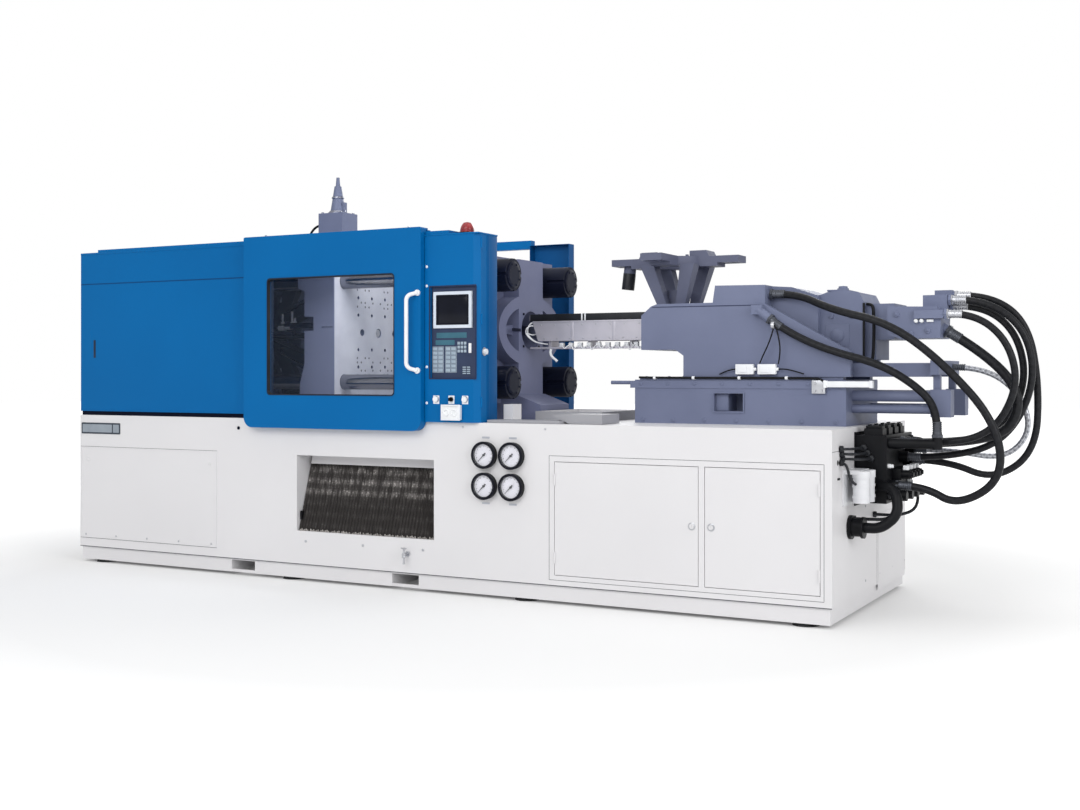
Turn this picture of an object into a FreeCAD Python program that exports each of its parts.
import FreeCAD, Part
import math
import os
import re
from types import SimpleNamespace

# Toggle-clamp injection moulding machine, millimetres.
# X runs from the clamp end to the injection end, -Y is the operator's side, Z is up from the floor.
# Pieces are drawn from the left end of the bed, and shifted at the end so that the origin
# lies on the floor under the middle of the machine.

vec = FreeCAD.Vector
doc = FreeCAD.newDocument("injection_moulding_machine")

sizes = {
    # bed
    "bed_length": "slab_x + slab_length + bed_end",
    "bed_end": 50,
    "bed_width": 1460,
    "bed_height": "axis_height - axis_over_bed",
    "axis_over_bed": 512,
    "foot_height": 18,
    "foot_radius": 65,
    "plinth_height": 97,
    "plinth_inset": 12,
    "fork_pocket_width": 176,
    "fork_pocket_height": 72,
    "fork_pocket_one": 1240,
    "fork_pocket_two": 2388,
    "panel_raise": 3,
    "rail_height": 15,
    "rail_inner": 335,
    "rail_width": 125,
    "rail_start": 620,
    "rail_end": 2560,
    "end_x": "bed_length + hose_overhang",
    "hose_overhang": 440,
    # chute
    "chute_x": 1736,
    "chute_width": 934,
    "chute_bottom": 290,
    "chute_height": 434,
    "chute_depth": 170,
    "drop_x": 1870,
    "drop_length": 700,
    "drop_half": 300,
    "drop_floor": 330,
    "drop_lintel": 680,
    "apron_ribs": 44,
    "apron_wall": 6,
    "apron_rib": 9,
    "apron_lean": 128,
    "apron_fold": 62,
    # cabinet doors
    "door_bottom": 155,
    "door_height": 581,
    "door_wall": 20,
    "door_gap": 3,
    "door_post": 36,
    "door_one_x": 3408,
    "door_one_width": 788,
    "door_two_x": "door_one_x + door_one_width + door_post",
    "door_two_width": 570,
    "cabinet_depth": 560,
    "cabinet_lip": 22,
    "pump_setback": 370,
    "hinge_pin": 5,
    # gauges
    "gauge_x": 2997,
    "gauge_z": 597,
    "gauge_pitch": 164,
    "gauge_radius": 70,
    "gauge_face": 58,
    "gauge_depth": 34,
    "gauge_recess": 14,
    "needle_length": 44,
    # guards
    "cover_length": 1385,
    "cover_top": "axis_height + cover_over_axis",
    "cover_over_axis": 512,
    "cover_wall": 20,
    "cover_inset": 5,
    "cover_seam": 1756,
    "sheet": 3,
    "gate_x": "cover_length + gate_gap",
    "gate_gap": 7,
    "gate_length": 1232,
    "gate_wall": 55,
    "gate_bottom": "bed_height - gate_skirt",
    "gate_top": "cover_top + gate_lift",
    "gate_skirt": 50,
    "gate_lift": 31,
    "gate_corner": 60,
    "gate_standoff": 5,
    "window_x": "gate_x + window_margin",
    "window_length": 884,
    "window_bottom": "bed_height + window_sill",
    "window_height": 669,
    "window_margin": 175,
    "window_sill": 140,
    "window_corner": 22,
    "pane": 8,
    "gate_rail_height": 18,
    "gate_rail_width": 28,
    "rear_gate_top": "cover_top - rear_gate_drop",
    "rear_gate_end": "gate_x + rear_gate_length",
    "rear_gate_drop": 84,
    "rear_gate_length": 1094,
    "rear_rail_bottom": "cover_top + rear_rail_rise",
    "rear_rail_rise": 36,
    "rear_rail_height": 55,
    "rear_rail_width": 50,
    "rear_guard_x": "rear_gate_end + 2*gate_gap",
    "rear_guard_length": 282,
    "rear_guard_wall": 70,
    "rear_guard_rise": 20,
    "rear_guard_top": "rear_rail_bottom + rear_guard_rise",
    "grip_length": 388,
    "grip_reach": 44,
    "grip_radius": 11,
    "grip_set": 45,
    "stem_radius": 8,
    # control column
    "column_x": "gate_x + gate_length + column_gap",
    "column_gap": 3,
    "column_width": 336,
    "column_depth": 200,
    "column_front": 24,
    "column_top": "cover_top - column_drop",
    "column_drop": 14,
    "column_chamfer": 30,
    "console_x": "column_x + console_margin",
    "console_width": 284,
    "console_bottom": "bed_height + console_rise",
    "console_margin": 35,
    "console_rise": 238,
    "console_height": 490,
    "console_recess": 26,
    "panel_wall": 12,
    "button_radius": 11,
    "button_travel": 4,
    "button_z": "bed_height + button_rise",
    "button_rise": 124,
    "socket_width": 110,
    "socket_rise": 16,
    "latch_rise": 379,
    "socket_height": 76,
    # clamp
    "axis_height": 1442,
    "platen_half_width": 455,
    "platen_half_height": 420,
    "bar_y": 350,
    "bar_z": 300,
    "bar_radius": 45,
    "bar_clearance": 0.5,
    "fixed_face_x": 2620,
    "fixed_plate": 150,
    "fixed_depth": 250,
    "fixed_rib_half": 145,
    "ring_half_width": 373,
    "ring_half_height": 206,
    "ring_wall": 79,
    "ring_depth": 170,
    "fixed_foot_height": 50,
    "locating_radius": 62.5,
    "locating_depth": 25,
    "nozzle_hole": 45,
    "nozzle_mouth": 112,
    "mould_bolt_radius": 10,
    "mould_bolt_depth": 32,
    "mould_bolt_y": 140,
    "mould_bolt_z": 105,
    "moving_face_x": 1790,
    "moving_plate": 217,
    "moving_boss": 60,
    "shoe_height": "axis_height - platen_half_height - bed_height - rail_height - shoe_gap",
    "shoe_gap": 0.3,
    "rear_platen_x": 730,
    "rear_platen_depth": 250,
    "throat_half_width": 255,
    "throat_half_height": 215,
    "throat_slot_half": 324,
    "nut_radius": 92,
    "nut_length": 180,
    "rear_nut_radius": 72,
    "rear_nut_length": 70,
    "bar_start": "rear_platen_x - bar_tail",
    "bar_tail": 75,
    # toggle
    "rear_pin_x": 1078,
    "rear_pin_half": 375,
    "front_pin_half": 250,
    "rear_link_length": 340,
    "front_link_length": 520,
    "fold_angle": 110,
    "third_pin_along": 250,
    "third_pin_across": 60,
    "pin_radius": 28,
    "pin_clearance": 0.3,
    "eye_radius": 55,
    "elbow_radius": 33,
    "small_eye": 30,
    "small_pin": 16,
    "front_link_half": 60,
    "link_side_gap": 5,
    "rear_link_wall": 50,
    "cross_link_length": 235,
    "cross_link_wall": 28,
    "cross_pin_half": 75,
    "lug_wall": 40,
    "beam_half_length": 45,
    "beam_half_height": 32,
    "beam_half_width": 247,
    "guide_y": 222,
    "guide_radius": 18,
    "guide_end": 1300,
    "flange_x": 600,
    "flange_wall": 60,
    "flange_half_width": 260,
    "flange_half_height": 290,
    "cylinder_x": 60,
    "cylinder_radius": 95,
    "cylinder_bore": 65,
    "piston_rod": 35,
    "piston_rod_length": 560,
    # ejector
    "ejector_length": 243,
    "ejector_radius": 48,
    "ejector_rod": 24,
    "ejector_hole": 27.5,
    "ejector_side": 170,
    # injection unit
    "slab_x": "fixed_face_x + slab_from_face",
    "slab_from_face": 1052,
    "slab_length": 1138,
    "slab_half_width": 310,
    "slab_top": "bed_height + slab_height",
    "slab_height": 230,
    "slab_rail_height": 15,
    "slab_rail_inner": 236,
    "slab_rail_width": 54,
    "carriage_bottom": "slab_top + slab_rail_height + shoe_gap",
    "carriage_half_width": 300,
    "carriage_neck_x": "slab_x + neck_start",
    "carriage_body_x": "slab_x + body_start",
    "carriage_end_x": "slab_x + body_end",
    "carriage_top": "axis_height + top_over_axis",
    "carriage_shoulder": "axis_height + shoulder_over_axis",
    "neck_start": 32,
    "body_start": 273,
    "body_end": 718,
    "top_over_axis": 206,
    "shoulder_over_axis": 118,
    "cheek_wall": 38,
    "cheek_end_x": "carriage_end_x + cheek_length",
    "cheek_length": 440,
    "barrel_radius": 55,
    "barrel_bore": 28,
    "barrel_x": "fixed_face_x + barrel_from_face",
    "nozzle_x": "fixed_face_x + nozzle_from_face",
    "cover_start_x": "barrel_x - cover_overhang",
    "barrel_from_face": 310,
    "nozzle_from_face": 35,
    "cover_overhang": 6,
    "barrel_cover_half": 80,
    "barrel_cover_bottom": "axis_height - cover_under_axis",
    "barrel_cover_top": "barrel_cover_bottom + barrel_cover_height",
    "cover_under_axis": 64,
    "barrel_cover_height": 110,
    "heater_strip_height": 40,
    "screw_radius": 27,
    "screw_end_x": "carriage_neck_x + screw_seat",
    "screw_seat": 354,
    "piston_disc": 80,
    "injection_rod": 38,
    "cavity_half": 122,
    "motor_x": "carriage_end_x + slope_length",
    "motor_end_x": "motor_x + motor_length",
    "slope_length": 250,
    "motor_length": 137,
    "motor_half": 172,
    "rear_body_end_x": "motor_end_x + rear_body_length",
    "block_x": "rear_body_end_x",
    "block_end_x": "block_x + block_length",
    "rear_body_length": 228,
    "block_length": 257,
    "block_near": -280,
    "block_wide": 220,
    "block_bottom": "axis_height - block_under_axis",
    "block_top": "block_bottom + block_height",
    "block_under_axis": 80,
    "block_height": 158,
    "hopper_x": "carriage_neck_x + hopper_from_neck",
    "hopper_plate_z": "axis_height + hopper_over_axis",
    "hopper_from_neck": 86,
    "hopper_over_axis": 330,
    "hopper_plate": 54,
    "hopper_reach": 372,
    "hopper_arm": 122,
    "hopper_hole": 150,
    "hopper_pad": 34,
    "hopper_slot": 12,
    # rear end
    "beam_y": 182,
    "beam_wall": 56,
    "beam_bottom": "slab_top + beam_over_slab",
    "beam_over_slab": 36,
    "beam_height": 48,
    "beam_end_x": "bed_length + beam_overhang",
    "beam_overhang": 345,
    "ram_radius": 27,
    "ram_length": 430,
    "ram_drop": 80,
    "valve_x": 4866,
    "valve_depth": 150,
    "valve_height": 330,
    "valve_drop": 370,
    "valve_bottom": "bed_height - valve_drop",
    # hoses
    "hose": 38,
    "loop_hose": 34,
    "wide_hose": 46,
    "thin_hose": 28,
}

sheet = doc.addObject("Spreadsheet::Sheet", "Sizes")
for row, alias in enumerate(sizes, start=1):
    sheet.set(f"A{row}", alias)
    sheet.setAlias(f"B{row}", alias)
for row, size in enumerate(sizes.values(), start=1):
    sheet.set(f"B{row}", f"={size}" if isinstance(size, str) else str(size))
doc.recompute()
s = SimpleNamespace(**{alias: getattr(sheet, alias) for alias in sizes})

# ---------------------------------------------------------------- helpers


def bound(expression):
    """Point each size name of an expression at its cell of the sheet."""
    return re.sub(r"[a-z_]+", lambda word: "Sizes." + word.group() if word.group() in sizes else word.group(),
                  str(expression))


def bind(thing, **expressions):
    """Bind properties; a name such as base_x stands for Placement.Base.x."""
    for name, expression in expressions.items():
        path = "Placement.Base." + name[-1] if name.startswith("base_") else name
        thing.setExpression(path, bound(expression))
    return thing


def box(name, corner, size):
    """A block from its lowest corner and its size, both as expressions."""
    block = doc.addObject("Part::Box", name)
    bind(block, base_x=corner[0], base_y=corner[1], base_z=corner[2])
    return bind(block, Length=size[0], Width=size[1], Height=size[2])


def slab_box(name, x, z, size_x, size_z, half_width):
    """A block that lies evenly on both sides of the middle plane."""
    return box(name, (x, f"-({half_width})", z), (size_x, f"2*({half_width})", size_z))


turns = {
    "x": FreeCAD.Rotation(vec(0, 1, 0), 90),
    "y": FreeCAD.Rotation(vec(1, 0, 0), -90),
    "z": FreeCAD.Rotation(),
}


def rod(name, axis, start, radius, length):
    """A cylinder along an axis, from its start point."""
    bar = doc.addObject("Part::Cylinder", name)
    bar.Placement = FreeCAD.Placement(vec(), turns[axis])
    bind(bar, base_x=start[0], base_y=start[1], base_z=start[2])
    return bind(bar, Radius=radius, Height=length)


def leaning_rod(name, start, lean, radius, length):
    """A cylinder that points along X, leaning down by an angle."""
    bar = doc.addObject("Part::Cylinder", name)
    bar.Placement = FreeCAD.Placement(vec(*start), FreeCAD.Rotation(vec(0, 1, 0), 90 + lean))
    return bind(bar, Radius=radius, Height=length)


def cone(name, axis, start, radius_one, radius_two, length):
    """A cone along an axis, from its start point."""
    bar = doc.addObject("Part::Cone", name)
    bar.Placement = FreeCAD.Placement(vec(), turns[axis])
    bind(bar, base_x=start[0], base_y=start[1], base_z=start[2])
    return bind(bar, Radius1=radius_one, Radius2=radius_two, Height=length)


def fused(name, *parts):
    joined = doc.addObject("Part::MultiFuse", name)
    joined.Shapes = list(parts)
    return joined


def cut(name, base, *tools):
    result = doc.addObject("Part::Cut", name)
    result.Base = base
    result.Tool = tools[0] if len(tools) == 1 else fused(name + "_tools", *tools)
    return result


def group(name, *parts):
    together = doc.addObject("Part::Compound", name)
    together.Links = list(parts)
    return together


upright = FreeCAD.Rotation(vec(1, 0, 0), 90)
crosswise = FreeCAD.Rotation(vec(1, 1, 1), 120)
directions = {"xz": vec(0, 1, 0), "yz": vec(1, 0, 0), "xy": vec(0, 0, 1)}
plane_turns = {"xz": upright, "yz": crosswise, "xy": FreeCAD.Rotation()}


def corner_arcs(points, radii):
    """Lines and arcs round a closed outline, each corner rounded by its own radius."""
    ends = []
    count = len(points)
    for i, corner in enumerate(points):
        before = (points[i - 1] - corner).normalize()
        after = (points[(i + 1) % count] - corner).normalize()
        if radii[i] == 0:
            ends.append((corner, None, corner))
            continue
        half = before.getAngle(after) / 2
        reach = radii[i] / math.tan(half)
        middle = corner + (before + after).normalize() * (radii[i] / math.sin(half) - radii[i])
        ends.append((corner + before * reach, middle, corner + after * reach))
    edges = []
    for i, (start, middle, end) in enumerate(ends):
        if middle is not None:
            edges.append(Part.Arc(start, middle, end))
        following = ends[(i + 1) % count][0]
        if (following - end).Length > 1e-6:
            edges.append(Part.LineSegment(end, following))
    return edges


def outline(name, plane, points, radii=0):
    """A sketch of a closed outline in one of the three planes."""
    sketch = doc.addObject("Sketcher::SketchObject", name)
    sketch.Placement = FreeCAD.Placement(vec(), plane_turns[plane])
    corners = [vec(a, b, 0) for a, b in points]
    if isinstance(radii, (int, float)):
        radii = [radii] * len(corners)
    sketch.addGeometry(corner_arcs(corners, radii), False)
    return sketch


def extruded(name, plane, points, start, length, radii=0):
    """An outline drawn out along its plane's normal, from a start to start + length."""
    sketch = outline(name + "_outline", plane, points, radii)
    pulled = doc.addObject("Part::Extrusion", name)
    pulled.Base = sketch
    pulled.DirMode = "Custom"
    pulled.Dir = directions[plane]
    pulled.Solid = True
    bind(pulled, LengthFwd=length)
    along = {"xz": "base_y", "yz": "base_x", "xy": "base_z"}[plane]
    return bind(pulled, **{along: start})


def even_prism(name, points, half_width, radii=0):
    """An XZ outline drawn out evenly to both sides of the middle plane."""
    return extruded(name, "xz", points, f"-({half_width})", f"2*({half_width})", radii)


def made(name, shape):
    """A piece whose shape is worked out here."""
    piece = doc.addObject("Part::Feature", name)
    piece.Shape = shape
    return piece


def swept(points, radius):
    """A round bar along straight runs joined by tangent arcs, each arc as large as its two runs allow."""
    corners = [vec(*p) for p in points]
    runs, bends, length = [], [], 0
    last = corners[0]

    def disc(centre, way):
        return Part.Face(Part.Wire([Part.Circle(centre, way, radius).toShape()]))

    for before, corner, after in zip(corners, corners[1:], corners[2:]):
        back, on = before - corner, after - corner
        reach = 0.45 * min(back.Length, on.Length)
        back.normalize()
        on.normalize()
        half = back.getAngle(on) / 2
        bend = reach * math.tan(half)
        start = corner + back * reach
        centre = corner + (back + on).normalize() * (bend / math.sin(half))
        turn = math.pi - 2 * half
        runs += [disc(last, -back).extrude(start - last),
                 disc(start, -back).revolve(centre, (-back).cross(on).normalize(), math.degrees(turn))]
        length += (start - last).Length + bend * turn
        bends.append(bend)
        last = corner + on * reach
    runs.append(disc(last, corners[-1] - last).extrude(corners[-1] - last))
    length += (corners[-1] - last).Length
    return runs[0].multiFuse(runs[1:]).removeSplitter(), length, min(bends)


def tube(name, points, diameter):
    solid, length, bend = swept(points, diameter / 2)
    expected = math.pi * diameter ** 2 / 4 * length
    print(f"{name}: length {length:.0f}, least bend {bend:.0f} = {bend / diameter:.1f} diameters,"
          f" volume {solid.Volume / expected:.4f} of its section times its length")
    return solid


nodes = {}


def keep(node, thing):
    """Name a finished sub-part and shift it to the machine's own frame."""
    thing.Label = node
    nodes[node] = thing
    return thing


# ---------------------------------------------------------------- bed


def make_bed():
    front = "-bed_width/2"
    shell = box("bed_shell", ("0", front, "plinth_height"), ("bed_length", "bed_width", "bed_height - plinth_height"))
    plinth = box("bed_plinth", ("plinth_inset", "plinth_inset - bed_width/2", "foot_height"),
                 ("bed_length - 2*plinth_inset", "bed_width - 2*plinth_inset", "plinth_height - foot_height"))
    side_panel = box("bed_side_panel", ("14", f"{front} - panel_raise", "door_bottom"),
                     ("1122", "panel_raise", "575"))
    end_panel = box("bed_end_panel", ("bed_length", "118", "70"), ("panel_raise", "585", "395"))
    rails = [
        box(f"bed_rail_{side}", ("rail_start", y, "bed_height"), ("rail_end - rail_start", "rail_width", "rail_height"))
        for side, y in (("near", "-rail_inner - rail_width"), ("far", "rail_inner"))
    ]
    tray = cut("drip_tray",
               slab_box("drip_tray_block", "3060", "bed_height", "380", "52", "250"),
               slab_box("drip_tray_hollow", "3064", "bed_height + 4", "372", "52", "246"))
    stop = box("bed_stop", ("2985", "-520", "bed_height"), ("60", "90", "95"))
    ledge = box("bed_ledge", ("3470", "-640", "bed_height"), ("150", "200", "48"))
    body = fused("bed_body", shell, plinth, side_panel, end_panel, *rails, tray, stop, ledge)

    tools = []
    for number in ("one", "two"):
        tools.append(box(f"door_{number}_aperture", (f"door_{number}_x - door_gap", f"{front} - 1", "door_bottom - door_gap"),
                         (f"door_{number}_width + 2*door_gap", "door_wall + 1.3", "door_height + 2*door_gap")))
    tools.append(box("cabinet", ("door_one_x + cabinet_lip", f"{front} - 1", "door_bottom + cabinet_lip"),
                     ("door_one_width - 2*cabinet_lip", "cabinet_depth", "door_height - 2*cabinet_lip")))
    tools.append(box("cabinet_two", ("door_two_x + cabinet_lip", f"{front} - 1", "door_bottom + cabinet_lip"),
                     ("door_two_width - 2*cabinet_lip", "cabinet_depth", "door_height - 2*cabinet_lip")))
    tools.append(box("chute_mouth", ("chute_x", f"{front} - 1", "chute_bottom"),
                     ("chute_width", "chute_depth + 1", "chute_height")))
    tools.append(slab_box("drop_shaft", "drop_x", "drop_floor", "drop_length", "bed_height - drop_floor + 1", "drop_half"))
    tools.append(box("drop_passage", ("drop_x", f"{front} + chute_depth - 1", "drop_floor"),
                     ("drop_length", "bed_width/2 - chute_depth - drop_half + 2", "drop_lintel - drop_floor")))
    for number in ("one", "two"):
        tools.append(box(f"fork_pocket_{number}_hole", (f"fork_pocket_{number}", f"{front}", "foot_height - 1"),
                         ("fork_pocket_width", "bed_width", "fork_pocket_height")))
    keep("bed_frame", cut("bed", body, *tools))


def make_apron():
    """Ribbed rubber apron in the chute's mouth: it leans back to a fold, then on to the lintel."""
    pitch = (s.chute_width - 2) / s.apron_ribs
    start = s.chute_x + 1
    points = []
    for i in range(s.apron_ribs):
        x = start + i * pitch
        points += [vec(x, -s.apron_wall, 0), vec(x + pitch / 2, -s.apron_wall - s.apron_rib, 0)]
    points += [vec(start + s.apron_ribs * pitch, -s.apron_wall, 0), vec(start + s.apron_ribs * pitch, 0, 0), vec(start, 0, 0)]
    front = -s.bed_width / 2
    low, high = s.chute_bottom + 0.3, s.chute_bottom + s.chute_height - 0.3
    middle = (low + high) / 2
    levels = [(front + 24, low), (front + 24 + s.apron_fold, middle - 8), (front + 24 + s.apron_lean, high)]
    wires = []
    for y, z in levels:
        wires.append(Part.makePolygon([vec(p.x, y + p.y, z) for p in points + points[:1]]))
    keep("chute_apron", made("apron", Part.makeLoft(wires, True, True)))


def make_gauges():
    front = "-bed_width/2"
    bodies = []
    for row in (0, 1):
        for column in (0, 1):
            tag = f"{column}{row}"
            x = f"gauge_x + {column}*gauge_pitch"
            z = f"gauge_z + {row}*gauge_pitch"
            bezel = rod(f"gauge_{tag}_case", "y", (x, f"{front} - gauge_depth", z), "gauge_radius", "gauge_depth")
            recess = rod(f"gauge_{tag}_recess", "y", (x, f"{front} - gauge_depth - 1", z), "gauge_face", "gauge_recess + 1")
            bodies.append(cut(f"gauge_{tag}", bezel, recess))
            hub = rod(f"needle_{tag}_hub", "y", (x, f"{front} - gauge_depth + 5", z), "6", "gauge_recess - 5.3")
            x0, z0 = s.gauge_x + column * s.gauge_pitch, s.gauge_z + row * s.gauge_pitch
            angle = math.radians(225)
            along = vec(math.cos(angle), math.sin(angle), 0)
            side = vec(-along.y, along.x, 0)
            tip = along * s.needle_length
            tail = along * -16
            corners = [tip + side * 0.6, tail + side * 3.5, tail - side * 3.5, tip - side * 0.6]
            blade = extruded(f"needle_{tag}_blade", "xz", [(x0 + p.x, z0 + p.y) for p in corners],
                             f"{front} - gauge_depth + 6", "2")
            keep(f"gauge_needle_{1 + column + 2 * row}", fused(f"needle_{tag}", hub, blade))
    keep("gauge_cases", group("gauges", *bodies))


def make_feet():
    pads = []
    for i, x in enumerate(("150", "1650", "3200", "bed_length - 150")):
        for j, side in enumerate((-1, 1)):
            pads.append(cone(f"foot_{i}{j}", "z", (x, f"{side}*(bed_width/2 - foot_radius - 20)", "0"),
                             "foot_radius", "foot_radius - 8", "foot_height"))
    keep("levelling_feet", group("feet", *pads))


def make_doors():
    front = "-bed_width/2"
    for number, node, hinge_left in (("one", "cabinet_door_left", True), ("two", "cabinet_door_right", False)):
        x = f"door_{number}_x"
        width = f"door_{number}_width"
        skin = box(f"door_{number}_skin", (x, front, "door_bottom"), (width, "door_wall", "door_height"))
        hollow = box(f"door_{number}_hollow", (f"{x} + cabinet_lip + 8", f"{front} + sheet", "door_bottom + cabinet_lip + 8"),
                     (f"{width} - 2*cabinet_lip - 16", "door_wall", "door_height - 2*cabinet_lip - 16"))
        lock_x = f"{x} + {width} - 32" if hinge_left else f"{x} + 32"
        lock = rod(f"door_{number}_lock", "y", (lock_x, f"{front} - 5", "door_bottom + 0.5*door_height"), "12", "6")
        slot = box(f"door_{number}_slot", (f"{lock_x} - 1", f"{front} - 6", "door_bottom + 0.5*door_height - 7"), ("2", "3", "14"))
        pin_x = f"{x} + 2" if hinge_left else f"{x} + {width} - 2"
        pins = [rod(f"door_{number}_pin_{end}", "z", (pin_x, f"{front} - hinge_pin + 1.5", z), "hinge_pin", "60")
                for end, z in (("low", "door_bottom + 60"), ("top", "door_bottom + door_height - 120"))]
        keep(node, cut(f"door_{number}", fused(f"door_{number}_leaf", skin, lock, *pins), hollow, slot))


def make_pump():
    """Electric motor and pump of the hydraulic drive, standing in the bed's cabinet."""
    z = "door_bottom + cabinet_lip + 190"
    floor = "door_bottom + cabinet_lip"
    y = "pump_setback - bed_width/2"
    motor = rod("pump_motor_case", "x", ("3500", y, z), "130", "360")
    cap = rod("pump_motor_cap", "x", ("3472", y, z), "118", "30")
    bell = cone("pump_bell", "x", ("3860", y, z), "110", "70", "90")
    pump = rod("pump_body", "x", ("3950", y, z), "68", "150")
    foot = box("pump_foot", ("3560", "pump_setback - bed_width/2 - 100", floor), ("240", "200", "100"))
    keep("pump_motor", fused("pump", motor, cap, bell, pump, foot))


# ---------------------------------------------------------------- guards


def make_clamp_cover():
    half = "bed_width/2 - cover_inset"
    outer = slab_box("cover_outer", "0", "bed_height + 25", "cover_length", "cover_top - bed_height - 25", half)
    skirt = slab_box("cover_skirt", "8", "bed_height", "cover_length - 8", "26", f"{half} - 8")
    inner = slab_box("cover_inner", "cover_wall", "bed_height - 1", "cover_length", "cover_top - bed_height - cover_wall + 1",
                     f"{half} - cover_wall")
    seams = []
    for side, y in (("near", f"-({half}) - 1"), ("far", f"{half} - 2")):
        seams.append(box(f"cover_seam_{side}", ("-1", y, "cover_seam"), ("cover_length + 2", "3", "4")))
        seams.append(box(f"cover_grip_{side}", ("82", y, "axis_height - 88"), ("16", "13", "112")))
    keep("clamp_cover", cut("cover", fused("cover_shell", outer, skirt), inner, *seams))


def grip_middle():
    return s.window_bottom + s.window_height / 2 + 14


def make_gate(side, node, pane_node, top, end_x, hooked):
    """Sliding safety gate: a framed panel with a clear pane, hung on its rail."""
    near = side < 0
    back = "bed_width/2 + gate_standoff"
    y = f"-({back} + gate_wall)" if near else back
    name = node + "_"
    x0, x1 = s.gate_x, end_x
    z0, z1 = s.gate_bottom, top
    corner = s.gate_corner
    panel = extruded(name + "panel", "xz", [(x0, z0), (x1, z0), (x1, z1), (x0, z1)], y, "gate_wall",
                     [corner, corner, 10, 10])
    wx0, wx1 = s.window_x, s.window_x + s.window_length
    wz0, wz1 = s.window_bottom, s.window_bottom + s.window_height
    opening = extruded(name + "opening", "xz", [(wx0, wz0), (wx1, wz0), (wx1, wz1), (wx0, wz1)], f"{y} - 1",
                       "gate_wall + 2", s.window_corner)
    inner = f"-({back})" if near else back
    pocket_y = f"{inner} - gate_wall + sheet" if near else inner
    pocket = []
    for tag, px0, px1 in (("left", x0 + 14, wx0 - 24), ("right", wx1 + 24, x1 - 14)):
        if px1 - px0 < 20:
            continue
        pocket.append(box(f"{name}{tag}_pocket", (px0, pocket_y if near else f"{inner} - 1", z0 + corner + 20),
                          (px1 - px0, "gate_wall - sheet + 1" if near else "gate_wall - sheet + 1", z1 - z0 - corner - 60)))
    parts = [panel]
    if hooked:
        parts += hooked
    leaf = cut(name + "leaf", fused(name + "hung", *parts), opening, *pocket)
    keep(node, leaf if near else fused(name + "with_grip", leaf, make_grip("rear_grip", x0 + 60, grip_middle(), False)))
    pane_y = f"-({back} + gate_wall/2) - pane/2" if near else f"{back} + gate_wall/2 - pane/2"
    keep(pane_node, extruded(name + "pane", "xz", [(wx0, wz0), (wx1, wz0), (wx1, wz1), (wx0, wz1)], pane_y, "pane",
                             s.window_corner))


def make_grip(name, x, z, near):
    """Bent-rod pull: an upright on two slanting stand-offs with round bases."""
    back = -(s.bed_width / 2 + s.gate_standoff + s.gate_wall)
    base = 10
    half = s.grip_length / 2
    corners = [(x, back - base + 1, z + half + 16), (x - s.grip_set, back - s.grip_reach, z + half),
               (x - s.grip_set, back - s.grip_reach, z - half), (x, back - base + 1, z - half - 16)]
    bases = [Part.makeCylinder(1.5 * s.grip_radius, base, vec(x, back - base, end[2]), vec(0, 1, 0))
             for end in (corners[0], corners[-1])]
    pull = swept(corners, s.grip_radius)[0].fuse(bases)
    return made(name, pull if near else pull.mirror(vec(), vec(0, 1, 0)))


def make_gates():
    half = "bed_width/2 - cover_inset"
    hook = box("front_gate_hook", ("gate_x + 12", "-(bed_width/2 + gate_standoff + 2)", "cover_top + gate_rail_height + 0.3"),
               ("gate_length - 24", "gate_standoff + 2 + gate_rail_width", "gate_top - cover_top - gate_rail_height - 0.3"))
    make_gate(-1, "front_gate", "front_gate_pane", s.gate_top, s.gate_x + s.gate_length, [hook])
    straps = []
    for tag, x in (("left", "gate_x + 60"), ("right", "rear_gate_end - 420")):
        top = "rear_rail_bottom + rear_rail_height + 0.3"
        strap = box(f"rear_gate_strap_{tag}", (x, "bed_width/2 + gate_standoff", "rear_gate_top - 1"),
                    ("80", "14", f"{top} + 12 - rear_gate_top + 1"))
        claw = box(f"rear_gate_claw_{tag}", (x, "bed_width/2 - rear_rail_width/2", top),
                   ("80", "rear_rail_width/2 + gate_standoff + 14", "12"))
        straps += [strap, claw]
    make_gate(1, "rear_gate", "rear_gate_pane", s.rear_gate_top, s.rear_gate_end, straps)
    keep("front_gate_grip", make_grip("front_grip", s.gate_x + s.gate_length - 19, grip_middle(), True))
    near_rail = box("front_rail", ("150", f"-({half})", "cover_top"),
                    ("column_x - 150", "gate_rail_width", "gate_rail_height"))
    far_rail = box("rear_rail", ("300", "bed_width/2 - rear_rail_width", "rear_rail_bottom"),
                   ("rear_guard_x - 300", "rear_rail_width", "rear_rail_height"))
    blocks = [
        box(f"rear_rail_block_{i}", (x, "bed_width/2 - rear_rail_width", "cover_top"),
            ("60", "rear_rail_width - cover_inset", "rear_rail_bottom - cover_top"))
        for i, x in enumerate(("320", "1300"))
    ]
    keep("gate_rails", group("rails", near_rail, fused("rear_rail_on_blocks", far_rail, *blocks)))


def make_rear_guard():
    outer = box("rear_guard_outer", ("rear_guard_x", "bed_width/2 - rear_guard_wall", "bed_height"),
                ("rear_guard_length", "rear_guard_wall", "rear_guard_top - bed_height"))
    inner = box("rear_guard_inner", ("rear_guard_x + sheet", "bed_width/2 - rear_guard_wall - 1", "bed_height + sheet"),
                ("rear_guard_length - 2*sheet", "rear_guard_wall - sheet + 1", "rear_guard_top - bed_height - 2*sheet"))
    keep("rear_guard", cut("rear_guard_sheet", outer, inner))


# ---------------------------------------------------------------- control column


def column_front():
    return "-(bed_width/2 + column_front)"


button_spots = {"start_button": "column_x + 74", "stop_button": "column_x + 256"}


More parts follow.
